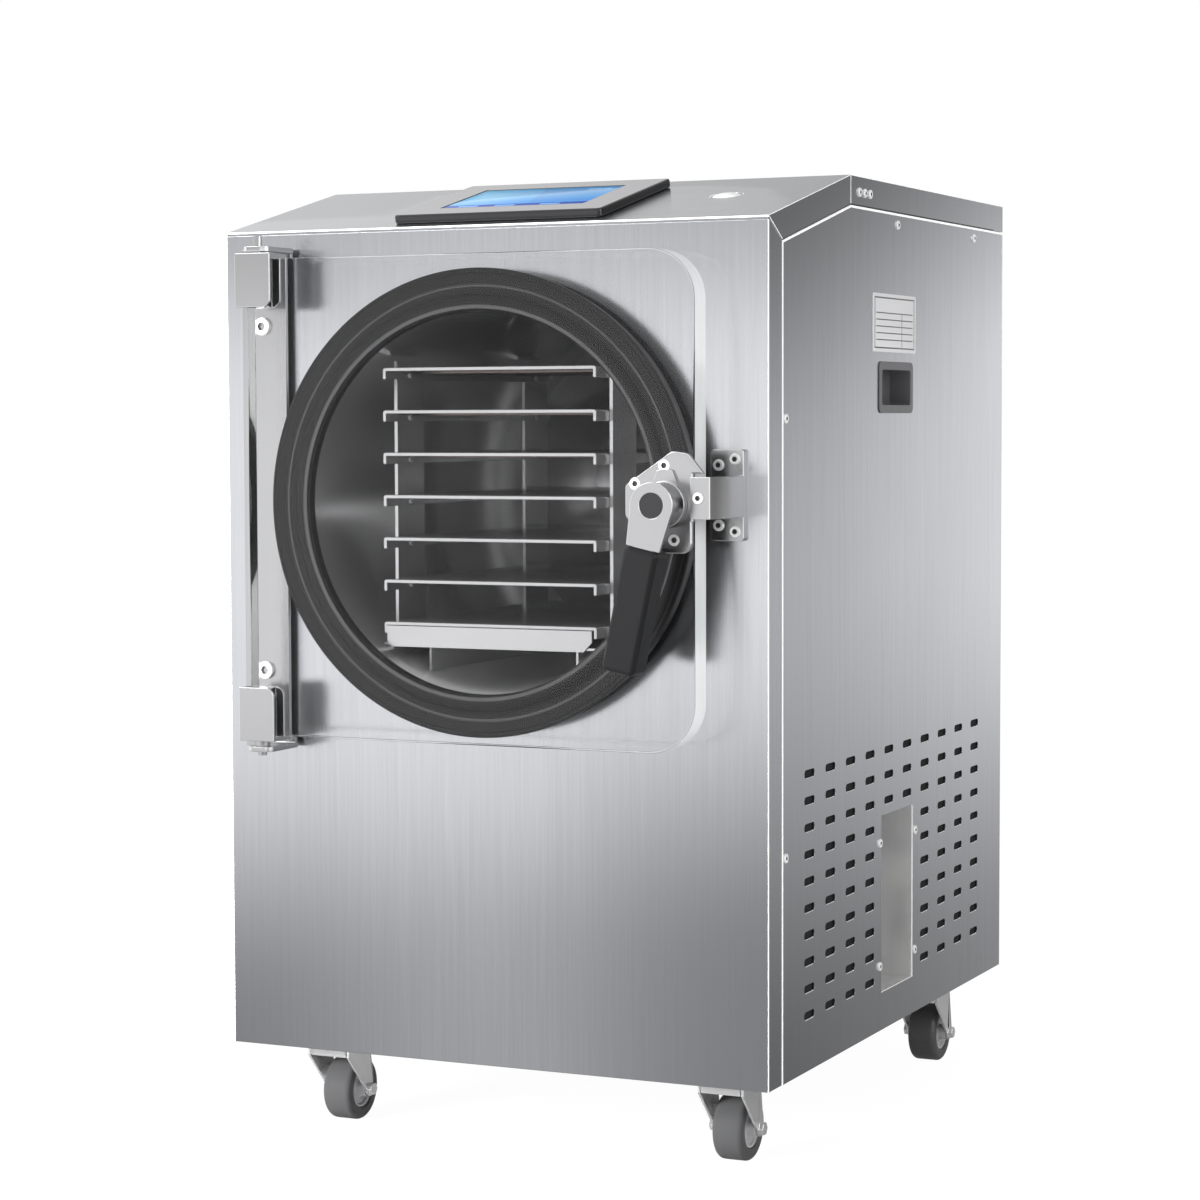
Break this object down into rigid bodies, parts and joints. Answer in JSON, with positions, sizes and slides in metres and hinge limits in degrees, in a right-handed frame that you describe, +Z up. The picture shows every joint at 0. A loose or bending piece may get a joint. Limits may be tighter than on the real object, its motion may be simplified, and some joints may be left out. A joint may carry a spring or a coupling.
{
  "type": "freeze dryer",
  "caption": "Tall stainless cabinet on casters with a round shelved vacuum chamber behind a clear square door, lever latch, sloping touch panel and side pocket.",
  "frame": {"origin": "on the floor under the wheels, at the centre of the overall width and depth", "axes": "+X to the machine's right as seen from the front, -Y towards the user at the front, +Z up"},
  "size_m": [0.5232, 0.7454, 0.8612],
  "materials": {
    "sheet_steel": "vertically brushed stainless sheet",
    "satin_steel": "satin stainless steel",
    "chamber_steel": "rolled and polished stainless",
    "rack_steel": "fine-grained stainless sheet",
    "pocket_steel": "bent bright sheet",
    "screw_steel": "bright screws",
    "zinc": "zinc-plated pressed steel",
    "chrome": "polished",
    "acrylic": "clear acrylic slab, polished edges",
    "seal_rubber": "dark moulded rubber",
    "foam": "foam insulation",
    "copper_tube": "copper tube",
    "heater_mat": "silicone heater mat",
    "black_plastic": "fine-grained black plastic",
    "bezel_plastic": "glossy black frame",
    "screen": "lit touch panel in plain colour fields",
    "label": "pale plate with ruled rows",
    "dark_paint": "black painted shell",
    "fin_aluminium": "finned block",
    "galvanised": "galvanised sheet",
    "wheel_rubber": "dark grey tyre",
    "nickel_fitting": "nickel-plated fitting"
  },
  "bodies": {
    "cabinet": {"base_pan": "galvanised", "button_housing": "chrome", "caster_plates": "zinc", "chamber_insulation": "foam", "compressor": "dark_paint", "condenser": "fin_aluminium", "connection_pocket": "pocket_steel", "control_box": "galvanised", "display_housing": "bezel_plastic", "display_screen": "screen", "door_gasket": "seal_rubber", "drain_valve": "nickel_fitting", "evaporator_coil": "copper_tube", "fan_shroud": "galvanised", "front_panel": "sheet_steel", "hinge_bar": "satin_steel", "hinge_bar_screws": "screw_steel", "hinge_pins": "satin_steel", "hood": "sheet_steel", "keeper": "satin_steel", "keeper_screws": "screw_steel", "label_plate": "label", "panel_screws": "screw_steel", "power_inlet": "black_plastic", "pull_handle_left": "black_plastic", "pull_handle_right": "black_plastic", "rack_frame": "rack_steel", "rear_panel": "sheet_steel", "shelf_1": "rack_steel", "shelf_2": "rack_steel", "shelf_3": "rack_steel", "shelf_4": "rack_steel", "shelf_5": "rack_steel", "shelf_6": "rack_steel", "shelf_7": "rack_steel", "shelf_heaters": "heater_mat", "shelf_screws": "screw_steel", "side_panel_left": "sheet_steel", "side_panel_right": "sheet_steel", "vacuum_chamber": "chamber_steel", "vacuum_port": "nickel_fitting"},
    "door": {"door_plate": "acrylic", "hinge_clip_upper": "satin_steel", "hinge_clip_lower": "satin_steel", "latch_plate": "satin_steel", "latch_screws": "screw_steel"},
    "handle": {"latch_handle": "satin_steel", "handle_grip": "black_plastic", "hub_cap": "black_plastic"},
    "start_button": {"push_button": "chrome"},
    "drain_lever": {"drain_lever": "black_plastic"},
    "fan": {"fan_rotor": "black_plastic"},
    "caster_front_right": {"caster_fork_front_right": "zinc"},
    "wheel_front_right": {"caster_wheel_front_right": "wheel_rubber"},
    "caster_front_left": {"caster_fork_front_left": "zinc"},
    "wheel_front_left": {"caster_wheel_front_left": "wheel_rubber"},
    "caster_rear_right": {"caster_fork_rear_right": "zinc"},
    "wheel_rear_right": {"caster_wheel_rear_right": "wheel_rubber"},
    "caster_rear_left": {"caster_fork_rear_left": "zinc"},
    "wheel_rear_left": {"caster_wheel_rear_left": "wheel_rubber"}
  },
  "joints": [
    {"name": "door_swing", "type": "hinge", "parent": "cabinet", "child": "door", "pos_m": [-0.2025, -0.3207, 0.579], "axis": [0, 0, -1], "range_deg": [0, 120]},
    {"name": "handle_turn", "type": "hinge", "parent": "door", "child": "handle", "pos_m": [0.193, -0.3727, 0.577], "axis": [0, 1, 0], "range_deg": [0, 90]},
    {"name": "button_press", "type": "slide", "parent": "cabinet", "child": "start_button", "axis": [0, 0.2321, -0.9727], "range_m": [0, 0.003], "stiffness_N_per_m": 400},
    {"name": "drain_lever_turn", "type": "hinge", "parent": "cabinet", "child": "drain_lever", "pos_m": [0.226, 0.0363, 0.156], "axis": [-1, 0, 0], "range_deg": [0, 90]},
    {"name": "fan_spin", "type": "hinge", "parent": "cabinet", "child": "fan", "pos_m": [0.1965, 0.2013, 0.234], "axis": [1, 0, 0], "continuous": true},
    {"name": "caster_swivel_front_right", "type": "hinge", "parent": "cabinet", "child": "caster_front_right", "pos_m": [0.194, -0.2037, 0.06], "axis": [0, 0, 1], "continuous": true},
    {"name": "wheel_roll_front_right", "type": "hinge", "parent": "caster_front_right", "child": "wheel_front_right", "pos_m": [0.194, -0.1837, 0.029], "axis": [1, 0, 0], "continuous": true},
    {"name": "caster_swivel_front_left", "type": "hinge", "parent": "cabinet", "child": "caster_front_left", "pos_m": [-0.194, -0.2037, 0.06], "axis": [0, 0, 1], "continuous": true},
    {"name": "wheel_roll_front_left", "type": "hinge", "parent": "caster_front_left", "child": "wheel_front_left", "pos_m": [-0.194, -0.1837, 0.029], "axis": [1, 0, 0], "continuous": true},
    {"name": "caster_swivel_rear_right", "type": "hinge", "parent": "cabinet", "child": "caster_rear_right", "pos_m": [0.216, 0.2563, 0.06], "axis": [0, 0, 1], "continuous": true},
    {"name": "wheel_roll_rear_right", "type": "hinge", "parent": "caster_rear_right", "child": "wheel_rear_right", "pos_m": [0.216, 0.2763, 0.029], "axis": [1, 0, 0], "continuous": true},
    {"name": "caster_swivel_rear_left", "type": "hinge", "parent": "cabinet", "child": "caster_rear_left", "pos_m": [-0.216, 0.2563, 0.06], "axis": [0, 0, 1], "continuous": true},
    {"name": "wheel_roll_rear_left", "type": "hinge", "parent": "caster_rear_left", "child": "wheel_rear_left", "pos_m": [-0.216, 0.2763, 0.029], "axis": [1, 0, 0], "continuous": true}
  ]
}
